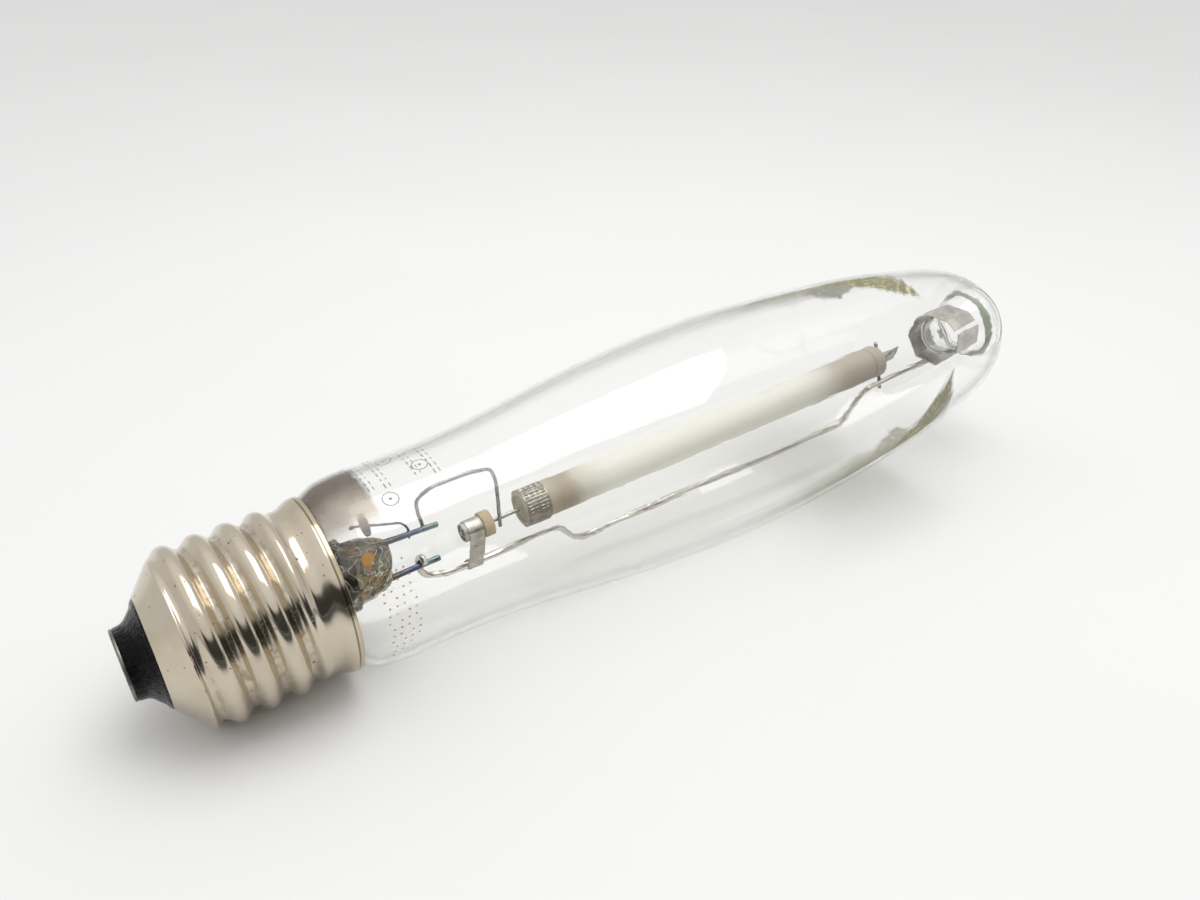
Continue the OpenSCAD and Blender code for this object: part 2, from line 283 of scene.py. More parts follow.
def piece(name, parts, material, replaces=(), crease=40.0):
    """One object from mesh parts in millimetres. It rides on the lamp and stands for CAD nodes."""
    verts, faces = [], []
    for points, part_faces in parts:
        base = len(verts)
        verts.extend(map(tuple, np.asarray(points) * MM))
        faces.extend(tuple(base + i for i in f) for f in part_faces)
    mesh = bpy.data.meshes.new(name)
    mesh.from_pydata(verts, [], faces)
    bm = bmesh.new()
    bm.from_mesh(mesh)
    bmesh.ops.remove_doubles(bm, verts=bm.verts, dist=1e-6)
    bmesh.ops.dissolve_degenerate(bm, dist=1e-7, edges=bm.edges)
    bmesh.ops.recalc_face_normals(bm, faces=bm.faces)
    for f in bm.faces:
        f.smooth = True
    for e in bm.edges:
        if len(e.link_faces) == 2 and e.calc_face_angle(0) > math.radians(crease):
            e.smooth = False
    bm.to_mesh(mesh)
    bm.free()
    obj = bpy.data.objects.new(name, mesh)
    bpy.context.scene.collection.objects.link(obj)
    mesh.materials.append(material)
    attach(obj, BODY)
    if replaces:
        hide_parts(*replaces)
    return obj


def arc_piece(name, part, material, node, crease=40.0):
    """A piece given in the arc tube's frame, which stands for one CAD node."""
    points, faces = part
    return piece(name, [(in_arc(points), faces)], material, [node], crease)


# ---------- material nodes ----------

class Nodes:
    """Shader nodes made in one tree."""

    def __init__(self, tree):
        self.tree = tree

    def node(self, kind, **inputs):
        made = self.tree.nodes.new(kind)
        for key, value in inputs.items():
            self.feed(made.inputs[key.replace("_", " ")], value)
        return made

    def feed(self, socket, value):
        if isinstance(value, bpy.types.NodeSocket):
            self.tree.links.new(value, socket)
        elif isinstance(value, tuple) and len(value) == 3 and socket.type == "RGBA":
            socket.default_value = (*value, 1)
        else:
            socket.default_value = value

    def math(self, operation, *values):
        made = self.node("ShaderNodeMath")
        made.operation = operation
        for socket, value in zip(made.inputs, values):
            self.feed(socket, value)
        return made.outputs[0]

    def times(self, a, b):
        return self.math("MULTIPLY", a, b)

    def window(self, value, low0, low1, high0, high1):
        """1 where value is from low1 to high0, 0 outside low0 and high1."""
        return self.times(self.span(value, low0, low1), self.span(value, high0, high1, 1.0, 0.0))

    def span(self, value, low, high, start=0.0, end=1.0):
        """start where value is low, end where it is high, smooth between."""
        made = self.node("ShaderNodeMapRange", Value=value, From_Min=low, From_Max=high,
                         To_Min=start, To_Max=end)
        made.interpolation_type = "SMOOTHSTEP"
        return made.outputs["Result"]


class Paint(Nodes):
    """A node material. mm is the place on the object in millimetres."""

    def __init__(self, name, color=(0.5, 0.5, 0.5), **sockets):
        self.material = bpy.data.materials.new(name)
        self.material.use_nodes = True
        super().__init__(self.material.node_tree)
        self.bsdf = self.tree.nodes["Principled BSDF"]
        self.output = self.tree.nodes["Material Output"]
        self.bsdf.inputs["Base Color"].default_value = (*color, 1)
        for key, value in sockets.items():
            self.bsdf.inputs[key.replace("_", " ")].default_value = value
        place = self.node("ShaderNodeTexCoord").outputs["Object"]
        self.mm = self.stretch(place, (1 / MM, 1 / MM, 1 / MM))
        self.x, self.y, self.z = self.node("ShaderNodeSeparateXYZ", Vector=self.mm).outputs
        self.tip = None

    def stretch(self, vector, scale):
        """A vector times a scale along each axis."""
        made = self.node("ShaderNodeVectorMath")
        made.operation = "MULTIPLY"
        self.feed(made.inputs[0], vector)
        self.feed(made.inputs[1], scale)
        return made.outputs[0]

    def sway(self, size, reach, **look):
        """Soft noise about 0, over a range of reach."""
        return self.times(self.math("SUBTRACT", self.noise(size, **look), 0.5), reach)

    def toward(self, azimuth):
        """Cosine of the angle round the axis to an azimuth in degrees."""
        return self.math("COSINE", self.math("SUBTRACT", self.azimuth(), math.radians(azimuth)))

    def grazing(self):
        """Low where the surface is seen square on, high where it is seen along itself."""
        return self.node("ShaderNodeLayerWeight", Blend=0.5).outputs["Facing"]

    def noise(self, size, detail=3.0, roughness=0.55, stretch=(1, 1, 1), distortion=0.0):
        """Soft noise from 0 to 1, with features of about size millimetres times stretch."""
        at = self.stretch(self.mm, tuple(1 / (size * s) for s in stretch))
        made = self.node("ShaderNodeTexNoise", Vector=at, Scale=1.0, Detail=detail,
                         Roughness=roughness, Distortion=distortion)
        return made.outputs["Fac"]

    def specks(self, size, share):
        """Small round specks, 1 in a speck and 0 between."""
        at = self.stretch(self.mm, (1 / size, 1 / size, 1 / size))
        made = self.node("ShaderNodeTexVoronoi", Vector=at, Scale=1.0)
        near = self.span(made.outputs["Distance"], 0.12, 0.26, 1.0, 0.0)
        picked = self.node("ShaderNodeSeparateXYZ", Vector=made.outputs["Color"]).outputs[0]
        return self.math("MULTIPLY", near, self.math("LESS_THAN", picked, share))

    def near(self, place, inner, outer):
        """1 within inner millimetres of a place, 0 beyond outer."""
        made = self.node("ShaderNodeVectorMath")
        made.operation = "DISTANCE"
        self.feed(made.inputs[0], self.mm)
        self.feed(made.inputs[1], tuple(float(v) for v in place))
        return self.span(made.outputs["Value"], inner, outer, 1.0, 0.0)

    def azimuth(self):
        """Angle round the lamp's axis from +Y towards +Z, in radians."""
        return self.math("ARCTAN2", self.z, self.y)

    def radius(self):
        """Distance from the lamp's axis in millimetres."""
        squares = self.math("ADD", self.math("MULTIPLY", self.y, self.y),
                            self.math("MULTIPLY", self.z, self.z))
        return self.math("SQRT", squares)

    def blend(self, factor, a, b):
        """Colour a where factor is 0, colour b where it is 1."""
        made = self.node("ShaderNodeMix")
        made.data_type = "RGBA"
        self.feed(made.inputs["Factor"], factor)
        self.feed(made.inputs[6], a)
        self.feed(made.inputs[7], b)
        return made.outputs[2]

    def bump(self, height, distance, strength=1.0):
        """Adds relief, distance in millimetres."""
        made = self.node("ShaderNodeBump", Height=height, Distance=distance * MM, Strength=strength)
        if self.tip:
            self.feed(made.inputs["Normal"], self.tip)
        self.tip = made.outputs["Normal"]
        self.feed(self.bsdf.inputs["Normal"], self.tip)

    def set(self, **inputs):
        for key, value in inputs.items():
            self.feed(self.bsdf.inputs[key.replace("_", " ")], value)

    def only_to_camera(self, veil, thin):
        """Lets light through to the pieces behind, tinted by veil, and keeps gloss for the eye.

        thin is how far the glass fades where it is seen along its surface."""
        path = self.node("ShaderNodeLightPath")
        through = self.math("MAXIMUM", path.outputs["Is Shadow Ray"], path.outputs["Is Diffuse Ray"])
        through = self.math("MAXIMUM", through, self.span(self.grazing(), 0.55, 0.95, 0.0, thin))
        clear = self.node("ShaderNodeBsdfTransparent", Color=veil)
        mixed = self.node("ShaderNodeMixShader", Fac=through)
        self.feed(mixed.inputs[1], self.bsdf.outputs[0])
        self.feed(mixed.inputs[2], clear.outputs[0])
        self.feed(self.output.inputs["Surface"], mixed.outputs[0])

    def film(self, share):
        """Shows the surface by share, and leaves the rest clear."""
        clear = self.node("ShaderNodeBsdfTransparent")
        mixed = self.node("ShaderNodeMixShader", Fac=share)
        self.feed(mixed.inputs[1], clear.outputs[0])
        self.feed(mixed.inputs[2], self.bsdf.outputs[0])
        self.feed(self.output.inputs["Surface"], mixed.outputs[0])


# ---------- materials ----------

def plated_brass():
    """Polished nickel on brass, warm, darker and rougher in patches in the thread valleys, with pits and fine
    turned scratches.
    """
    p = Paint("plated_brass", Metallic=1.0)
    cloud = p.noise(9.0, detail=5)
    warm = p.blend(p.span(cloud, 0.35, 0.7), (0.62, 0.555, 0.45), (0.56, 0.49, 0.38))
    threaded = p.window(p.x, 12.6, 14.0, 33.0, 35.0)
    low = p.span(p.radius(), ROOT_R + 0.1, ROOT_R + 0.75, 1.0, 0.0)
    valley = p.times(low, threaded)
    # Patches in the thread valleys are made darker and rougher.
    valley_darkening = p.times(valley, p.span(p.noise(2.6, detail=6, roughness=0.7), 0.38, 0.66))
    valley_darkened = p.blend(p.times(valley_darkening, 0.5), warm, (0.21, 0.165, 0.11))
    pits = p.math("MAXIMUM", p.specks(0.9, 0.05), p.specks(1.7, 0.04))
    color = p.blend(p.times(pits, 0.75), valley_darkened, (0.10, 0.08, 0.06))
    brassy = p.span(p.x, RIM_X - 0.9, RIM_X - 0.2)
    edged = p.blend(p.times(brassy, 0.5), color, (0.50, 0.37, 0.20))
    # A thin dark line just below the rim: a painted dark reflection.
    rim_dark_reflection = p.window(p.x, RIM_X - 1.35, RIM_X - 1.15, RIM_X - 0.95, RIM_X - 0.75)
    p.set(Base_Color=p.blend(p.times(rim_dark_reflection, 0.75), edged, (0.10, 0.075, 0.045)))
    rough = p.span(p.noise(3.5, detail=6, roughness=0.65), 0.3, 0.75, 0.08, 0.2)
    p.set(Roughness=p.math("MAXIMUM", rough, p.times(valley_darkening, 0.42)))
    p.bump(p.noise(0.35, detail=4, stretch=(0.22, 3, 3)), 0.012, 0.35)
    p.bump(p.noise(3.2, detail=3), 0.03, 0.2)
    p.bump(pits, -0.05, 0.8)
    return p.material


def contact_metal():
    """Dull nickel-plated disc with turned rings and grey scuffs."""
    p = Paint("contact_metal", Metallic=1.0)
    scuff = p.noise(2.4, detail=6, roughness=0.7)
    rings = p.math("SINE", p.times(p.radius(), 15.0))
    color = p.blend(p.span(scuff, 0.4, 0.66), (0.24, 0.23, 0.205), (0.12, 0.115, 0.10))
    p.set(Base_Color=color, Roughness=p.span(scuff, 0.35, 0.7, 0.28, 0.52))
    p.bump(rings, 0.006, 0.5)
    p.bump(p.noise(0.8, detail=5), 0.03, 0.4)
    return p.material


def tin_solder():
    """Bright cast-looking solder with a dull skin."""
    p = Paint("tin_solder", Metallic=1.0)
    skin = p.noise(1.3, detail=5, roughness=0.6)
    p.set(Base_Color=p.blend(skin, (0.50, 0.51, 0.53), (0.74, 0.74, 0.75)),
          Roughness=p.span(skin, 0.3, 0.7, 0.22, 0.42))
    p.bump(p.noise(0.5, detail=3), 0.03, 0.5)
    return p.material


def fused_black_glass():
    """Glossy black fused glass with an uneven, poured surface."""
    p = Paint("fused_black_glass", color=(0.003, 0.003, 0.0035), Roughness=0.05, IOR=1.2)
    dust = p.span(p.noise(1.1, detail=6, roughness=0.7), 0.58, 0.8)
    p.set(Base_Color=p.blend(dust, (0.002, 0.002, 0.002), (0.02, 0.018, 0.016)),
          Roughness=p.span(dust, 0.0, 1.0, 0.04, 0.25))
    drips = p.noise(1.0, detail=3, roughness=0.6, stretch=(3.2, 0.7, 0.7), distortion=0.6)
    p.bump(drips, 0.45, 0.9)
    p.bump(p.noise(0.5, detail=3), 0.03, 0.3)
    return p.material


def capping_cement():
    """Matt grey-tan cement, gritty."""
    p = Paint("capping_cement", Roughness=0.92)
    grit = p.noise(0.9, detail=7, roughness=0.7)
    p.set(Base_Color=p.blend(grit, (0.30, 0.25, 0.18), (0.58, 0.51, 0.40)))
    p.bump(grit, 0.18, 0.9)
    return p.material


def envelope_glass():
    """Clear hard glass: a breath of green, and drawn lines along the lamp."""
    p = Paint("envelope_glass", color=(0.997, 0.998, 0.99), Roughness=0.0, IOR=1.47,
              Transmission_Weight=1.0)
    drawn = p.noise(2.2, detail=3, roughness=0.5, stretch=(18, 1, 1), distortion=0.3)
    p.bump(drawn, 0.10, 0.22)
    p.bump(p.noise(14.0, detail=2, stretch=(2, 1, 1)), 0.5, 0.10)
    p.only_to_camera((0.99, 0.992, 0.985), thin=0.82)
    return p.material


def seal_glass():
    """Hard glass of the stem: brown, with dark clouds of painted shade for the dark cap seen through it, pale
    lines of painted highlight, and amber where it wets the leads.
    """
    p = Paint("seal_glass", Roughness=0.01, IOR=1.52, Transmission_Weight=0.45)
    # Dark clouds in the colour are painted shade, for the dark inside of the cap seen through the glass.
    cloudy = p.span(p.noise(2.6, detail=2, roughness=0.6, distortion=0.5), 0.40, 0.56)
    brown_and_painted_light = p.blend(cloudy, (0.34, 0.28, 0.14), (0.035, 0.026, 0.014))
    # Pale lines along the noise's ridges are painted highlights.
    ridge = p.math("ABSOLUTE", p.math("SUBTRACT", p.noise(3.4, detail=1, distortion=0.4), 0.5))
    brown_and_painted_light = p.blend(p.span(ridge, 0.01, 0.022, 0.9, 0.0), brown_and_painted_light, (0.98, 0.97, 0.92))
    amber = p.times(p.span(p.x, 46.0, 48.0), p.span(p.noise(2.6), 0.54, 0.62))
    amber_and_painted_light = p.blend(p.times(amber, 0.8), brown_and_painted_light, (0.50, 0.27, 0.06))
    wetted = p.near(in_mount([50.9, -5.9, -3.6]), 1.1, 1.9)
    p.set(Base_Color=p.blend(wetted, amber_and_painted_light, (1.0, 0.42, 0.02)))
    p.bump(p.noise(3.2, detail=2, distortion=0.8), 0.8, 0.5)
    return p.material


def blued_lead():
    """Lead wire: orange in the glass, grey, then blue and teal towards its tip."""
    p = Paint("blued_lead", Metallic=1.0)
    along = p.math("ADD", p.x, p.sway(1.6, 1.8))
    seal = p.blend(p.span(along, 53.4, 55.0), (0.95, 0.42, 0.06), (0.105, 0.10, 0.105))
    blue = p.blend(p.span(along, 58.0, 61.0), seal, (0.10, 0.118, 0.185))
    teal = p.blend(p.span(along, 62.6, 65.5), blue, (0.20, 0.28, 0.29))
    p.set(Base_Color=p.blend(p.span(p.noise(0.5, detail=5), 0.35, 0.8), teal, (0.10, 0.11, 0.13)))
    p.set(Roughness=p.span(p.noise(0.7, detail=4), 0.3, 0.7, 0.26, 0.46))
    p.bump(p.noise(0.3, detail=4, stretch=(6, 1, 1)), 0.02, 0.5)
    return p.material


def wire_metal(name, light, dark, low, high):
    """Drawn wire: fine lines along it and patches of oxide."""
    p = Paint(name, Metallic=1.0)
    patch = p.noise(2.2, detail=5, roughness=0.65)
    p.set(Base_Color=p.blend(p.span(patch, 0.36, 0.68), light, dark),
          Roughness=p.span(p.noise(1.2, detail=4), 0.3, 0.7, low, high))
    p.bump(p.noise(0.3, detail=2, stretch=(12, 1, 1)), 0.006, 0.4)
    return p.material


def strip_metal():
    """Annealed strip: rolled lines across its width and a warm, cloudy finish."""
    p = Paint("strip_metal", Metallic=1.0)
    cloud = p.noise(3.0, detail=4)
    p.set(Base_Color=p.blend(p.span(cloud, 0.3, 0.7), (0.60, 0.575, 0.53), (0.40, 0.375, 0.33)),
          Roughness=p.span(p.noise(1.8, detail=5), 0.3, 0.7, 0.26, 0.42))
    p.bump(p.noise(0.25, detail=3, stretch=(6, 1, 1)), 0.012, 0.5)
    p.bump(p.noise(2.4, detail=2), 0.06, 0.3)
    return p.material


def steatite():
    """Matt tan ceramic with a fine sandy face."""
    p = Paint("steatite", Roughness=0.72)
    grain = p.noise(0.5, detail=6, roughness=0.7)
    stain = p.noise(2.4, detail=3)
    tan = p.blend(grain, (0.44, 0.335, 0.20), (0.60, 0.485, 0.325))
    p.set(Base_Color=p.blend(p.span(stain, 0.5, 0.75), tan, (0.36, 0.28, 0.18)))
    p.bump(grain, 0.05, 0.6)
    return p.material


def sintered_alumina():
    """Milky arc tube: cream and partly clear in its middle, smoked towards both ends."""
    p = Paint("sintered_alumina", Roughness=0.5, Subsurface_Weight=0.3, Subsurface_Scale=1.5 * MM)
    p.bsdf.inputs["Subsurface Radius"].default_value = (1.0, 0.95, 0.85)
    along = p.math("ADD", p.x, p.sway(7.0, 9.0, detail=4))
    end = ARC_X0 + ARC_LEN
    base_u = ARC_X0 + 17
    dome_u = end - 22.5
    clouded = p.noise(16.0, detail=3, stretch=(3, 1, 1))
    milk = p.blend(clouded, (1.0, 0.98, 0.89), (0.98, 0.955, 0.85))
    smoke = p.blend(p.span(along, base_u - 9, base_u + 8, 1.0, 0.0), milk, (0.50, 0.435, 0.335))
    # A darker patch a little way in from the base end.
    base_end_dark_patch = p.window(along, ARC_X0 + 5, ARC_X0 + 10, ARC_X0 + 11, base_u)
    with_base_end_dark_patch = p.blend(p.times(base_end_dark_patch, 0.55), smoke, (0.30, 0.235, 0.165))
    dusk = p.blend(p.span(along, dome_u - 4, dome_u + 9), with_base_end_dark_patch, (0.45, 0.395, 0.325))
    band = p.window(p.x, end - 4.3, end - 4.0, end - 3.8, end - 3.3)
    p.set(Base_Color=p.blend(p.times(band, 0.5), dusk, (0.24, 0.21, 0.17)))
    p.bump(p.noise(0.35, detail=4), 0.012, 0.4)
    p.film(p.math("MAXIMUM", p.span(along, base_u - 9, base_u + 8, 0.95, 0.6),
                  p.span(along, dome_u - 4, dome_u + 9, 0.6, 0.95)))
    return p.material


def band_foil():
    """Thin refractory foil, brownish grey, with faint rolled lines."""
    p = Paint("band_foil", Metallic=1.0)
    cloud = p.noise(1.8, detail=4)
    p.set(Base_Color=p.blend(p.span(cloud, 0.3, 0.7), (0.34, 0.315, 0.265), (0.23, 0.21, 0.175)),
          Roughness=p.span(cloud, 0.3, 0.7, 0.30, 0.48))
    p.bump(p.noise(0.25, detail=3, stretch=(6, 1, 1)), 0.015, 0.5)
    return p.material


def sealing_frit():
    """Olive ceramic plug and the glassy frit on it."""
    p = Paint("sealing_frit", Roughness=0.5)
    grain = p.noise(0.8, detail=5)
    p.set(Base_Color=p.blend(grain, (0.27, 0.27, 0.17), (0.44, 0.43, 0.31)))
    p.bump(grain, 0.05, 0.6)
    return p.material


def grey_ink(name, color):
    """Stamped ink with worn, speckled edges."""
    p = Paint(name, color=color, Roughness=0.55)
    worn = p.span(p.noise(0.28, detail=5, roughness=0.7), 0.36, 0.5)
    p.set(Base_Color=p.blend(p.noise(0.6), color, tuple(0.7 * c for c in color)))
    p.film(p.times(worn, 0.8))
    return p.material


def getter_mirror():
    """Brown-grey mirror on the inside of the neck, thick by the cap and soft at its edge."""
    p = Paint("getter_mirror", Metallic=0.25)
    thick = p.span(p.math("ADD", p.x, p.sway(5.0, 2.4, detail=4)), 52.9, 54.6, 1.0, 0.0)
    upper = p.span(p.toward(70), 0.56, 0.76)
    grazing = p.grazing()
    cloud = p.span(p.noise(6.0, detail=3, stretch=(2.5, 1, 1)), 0.35, 0.65)
    tan = p.blend(cloud, (0.42, 0.355, 0.27), (0.33, 0.27, 0.20))
    p.set(Base_Color=p.blend(p.span(grazing, 0.07, 0.22), tan, (0.13, 0.10, 0.075)),
          Roughness=p.span(p.noise(2.0), 0.3, 0.7, 0.2, 0.35))
    edge = p.span(grazing, 0.02, 0.22, 0.76, 0.98)
    p.film(p.times(p.times(thick, upper), edge))
    return p.material


def olive_film():
    """A very thin metal film near the dome: it only shows where it is seen along the surface."""
    p = Paint("dome_film", Metallic=0.1, Roughness=0.5)
    twist = p.math("ADD", p.times(p.x, 0.42), p.times(p.azimuth(), 9.0))
    at = p.node("ShaderNodeCombineXYZ", X=twist, Y=p.times(p.x, 0.05)).outputs[0]
    lines = p.node("ShaderNodeTexNoise", Vector=at, Scale=1.0, Detail=5.0, Roughness=0.6).outputs["Fac"]
    glint = p.span(p.noise(0.9, detail=5, roughness=0.7), 0.50, 0.64)
    bright = p.times(glint, p.span(lines, 0.40, 0.56))
    p.set(Base_Color=p.blend(bright, (0.17, 0.16, 0.065), (0.90, 0.82, 0.34)))
    needed = p.span(p.x, DOME_FILM_X0, DOME_FILM_X1, 0.315, 0.196)
    uneven = p.math("ADD", needed, p.times(p.math("SUBTRACT", lines, 0.5), 0.03))
    shown = p.span(p.math("SUBTRACT", p.grazing(), uneven), -0.006, 0.012)
    ragged_x = p.math("ADD", p.x, p.times(lines, 5.0))
    tip = p.span(ragged_x, DOME_FILM_X1 - 0.5, DOME_FILM_X1 + 1.5, 1.0, 0.0)
    p.film(p.times(p.times(shown, tip), 0.96))
    return p.material


def green_ring():
    """Narrow ring of green film on the funnel of the well, ragged at its edges and closed all round."""
    p = Paint("green_ring", Roughness=0.5)
    ragged = p.sway(1.2, 1.0, detail=4, roughness=0.6)
    wave = p.sway(6.0, 2.2, detail=1)
    away = p.math("ABSOLUTE", p.math("SUBTRACT", p.math("ADD", p.x, wave), RING_X))
    half = p.span(p.toward(215), -0.6, 1.0, 0.85, 1.1)
    shown = p.span(p.math("SUBTRACT", p.math("ADD", away, ragged), half), -0.08, 0.12, 1.0, 0.0)
    speck = p.span(p.noise(0.6, detail=4, roughness=0.7), 0.5, 0.68)
    p.set(Base_Color=p.blend(speck, (0.075, 0.12, 0.03), (0.24, 0.29, 0.10)))
    p.film(p.times(shown, 0.93))
    return p.material


def studio_floor():
    """Plain pale card, barely uneven."""
    p = Paint("studio_floor", Roughness=0.6)
    p.bsdf.inputs["Specular IOR Level"].default_value = 0.0
    soft = p.noise(180.0, detail=2)
    p.set(Base_Color=p.blend(soft, (0.80, 0.80, 0.793), (0.84, 0.84, 0.833)))
    return p.material


def dark_floor():
    """Dark table beyond the card, fading in from its edge."""
    p = Paint("dark_floor", color=(0.045, 0.05, 0.055), Roughness=0.7)
    p.film(p.span(p.y, 3.4 * FLOOR_EDGE / MM, FLOOR_EDGE / MM, 1.0, 0.0))
    return p.material


# ---------- screw base ----------

def blend01(t):
    """Smooth step from 0 to 1."""
    t = np.clip(t, 0, 1)
    return t * t * (3 - 2 * t)


def shell_radius(x, a):
    """Outer radius of the screw shell at x and angle a in radians."""
    crest_at, thread_x0, thread_x1, fade, skirt_x, rim_x = 13.0, 10.6, 33.4, 3.0, 37.0, 41.0
    body = SKIRT_R + (RIM_R - SKIRT_R) * blend01((x - skirt_x) / (rim_x - skirt_x))
    cone = OPENING_R + (x - OPENING_X) * (CREST_R - OPENING_R) / (CONE_X - OPENING_X)
    wave = np.cos(TAU * (x - crest_at - PITCH * a / TAU) / PITCH)
    full = 1 - 2 * ((1 - wave) / 2)**CREST_FULLNESS
    threaded = (CREST_R + ROOT_R) / 2 + (CREST_R - ROOT_R) / 2 * full
    t = 1 - blend01((x - thread_x1) / fade)
    outer = t * threaded + (1 - t) * body
    guard = np.where(x < thread_x0, CREST_R, threaded)
    soften = 0.35
    gap = np.clip((guard - cone) / soften, -1, 1)
    low = np.minimum(cone, guard) - soften * (1 - np.abs(gap))**2 / 4
    return np.where(x < CONE_X, low, outer)


def screw_shell():
    """Threaded shell: nose cone, knuckle thread, skirt and rim, with its plain inside."""
    sides, rows, inner_rows, dent_depth = 288, 190, 24, 0.009
    a = around(sides)
    rings = []

    def ring(x, r):
        places = [Vector((x / 7, 2.2 * math.cos(t), 2.2 * math.sin(t))) for t in a]
        dent = dent_depth * np.array([noise.noise(place) for place in places])
        rings.append(ring_at(x, r - np.abs(dent), a))

    mouth = OPENING_R + 0.05
    for x, r in ((OPENING_X + 0.35, mouth - 0.32), (OPENING_X + 0.1, mouth - 0.22),
                 (OPENING_X + 0.01, mouth)):
        ring(x, np.full(sides, r))
    for x in np.linspace(OPENING_X + 0.12, RIM_X - 0.25, rows):
        ring(x, shell_radius(np.full(sides, x), a))
    for x, r in ((RIM_X - 0.06, RIM_R - 0.03), (RIM_X, RIM_R - 0.15), (RIM_X - 0.06, RIM_R - 0.3)):
        ring(x, np.full(sides, r))
    for x in np.linspace(RIM_X - 0.4, OPENING_X + 1.2, inner_rows):
        most = ROOT_R if x < 36 else SKIRT_R + 9
        inside = np.minimum(shell_radius(np.full(sides, x), a).min(), most)
        ring(x, np.full(sides, inside - SHELL_T))
    parts = [rings_part(rings, closed=True)]
    piece("screw_shell_metal", parts, plated_brass(), ["screw_shell"], crease=60)


def contact():
    """Contact disc with a rolled edge, and the solder in its eyelet."""
    disc = [(PLATE_T, 1.75), (0.3, 1.9), (0.16, 2.2), (0.06, 2.8), (0.02, 3.8), (0.0, 5.0), (0.01, 6.3),
            (0.04, PLATE_R - 0.55), (0.14, PLATE_R - 0.16), (0.3, PLATE_R - 0.02), (0.5, PLATE_R),
            (PLATE_T, PLATE_R - 0.06), (PLATE_T, 1.75)]
    fine = smooth(disc[:-2], 3)
    fine = np.vstack([np.clip(fine, 0, PLATE_R), disc[-2:-1]])
    points, faces = turned_part(fine, 144)
    metal = contact_metal()
    piece("contact_disc", [(points, faces)], metal, ["contact_plate"])
    drop = smooth([(0.0, 0.0), (0.04, 0.7), (0.16, 1.3), (0.38, 1.8), (0.6, 2.0), (1.0, 1.9), (1.9, 0.9),
                   (2.0, 0.0)], 5)
    points, faces = turned_part(drop, 64)
    lumpy = ripple(points, 0.09, 1.2)
    lumpy[:, 0] = np.maximum(lumpy[:, 0], 0.0)
    piece("contact_solder_drop", [(lumpy, faces)], tin_solder(), ["contact_solder"])


def insulator():
    """Black glass cone with poured, uneven shoulders."""
    outer = [(PLATE_T, PLATE_R - 0.3), (0.8, PLATE_R - 0.02), (1.2, PLATE_R + 0.1), (1.9, PLATE_R + 0.18),
             (2.5, PLATE_R + 0.3), (3.2, PLATE_R + 0.75), (4.0, PLATE_R + 1.6), (4.9, PLATE_R + 2.6),
             (5.6, OPENING_R - 0.55), (6.0, OPENING_R - 0.2), (6.6, OPENING_R - 0.3), (7.4, OPENING_R - 0.5)]
    profile = np.vstack([smooth(outer, 6), [(9.4, OPENING_R - 0.6), (9.4, 2.4), (PLATE_T, 2.4)]])
    points, faces = turned_part(profile, 192)
    wavy = ripple(points, 0.10, 2.6)
    wavy[:, 0] = np.maximum(wavy[:, 0], PLATE_T)
    piece("insulator_glass", [(wavy, faces)], fused_black_glass(), ["insulator"])


def rim_solder():
    """Lump of solder that holds the side wire to the rim."""
    a = math.radians(20)
    centre = in_mount([RIM_X - 2.4, (RIM_R - 0.75) * math.cos(a), (RIM_R - 0.75) * math.sin(a)])
    points, faces = blob_part((0, 0, 0), (1.9, 1.5, 0.85), seed=3.1, lumps=0.3)
    points = turn(points, (1, 0, 0), a + MOUNT_ANGLE - TAU / 4)
    piece("rim_solder_lump", [(points + centre, faces)], tin_solder(), ["shell_solder"])


def cement():
    """Cement between the shell and the neck, rough where it shows."""
    inner_r = ROOT_R - SHELL_T - 0.02
    edge = smooth([(35.6, inner_r), (36.0, inner_r - 0.3), (35.7, 16.9), (34.6, 16.35)], 5)
    profile = np.vstack([[(24, 15.5), (24, inner_r)], edge, [(31, 15.95), (28, 15.7)]])
    points, faces = turned_part(profile, 180)
    piece("cement_ring", [(ripple(points, 0.10, 0.9), faces)], capping_cement(), ["base_cement"])


# ---------- glass ----------

BULB_OUTLINE = [(NECK_END_X, 15.2), (28, 15.5), (34, 16), (38, 17), (41, 18.4), (43.2, 19.5), (46, 20.9),
                (50, 21.6), (60, 21.7), (72, 22), (88, 23.4), (104, 25.5), (122, 27.3), (146, BULB_R),
                (168, 27.75), (184, 26.7), (200, 25.1), (212, 23.2), (222, 21.3), (230, 19.3),
                (236, 16.7), (240, 13.9), (242.3, 12), (BULB_HIGH[0], 10.6), (242.8, 9.7),
                (240.9, 8.9), (238.5, 7.9), (236, 6.5), (233.5, DIMPLE_R + 0.2), (230.5, DIMPLE_R),
                (228.3, DIMPLE_R - 1.3), (227.8, 2), (227.7, 0)]
AIR_WALL = smooth(BULB_OUTLINE, WALL_STEPS)
VACUUM_WALL = beside(AIR_WALL, GLASS_T)
VACUUM_WALL[:, 1] = np.maximum(VACUUM_WALL[:, 1], 0)


def envelope():
    """Closed double wall of the envelope, from the neck's end to the bottom of the dome's well."""
    part = turned_part(np.vstack([AIR_WALL, VACUUM_WALL[::-1]]), 192)
    piece("envelope_wall", [part], envelope_glass(), ["outer_bulb"], crease=75)


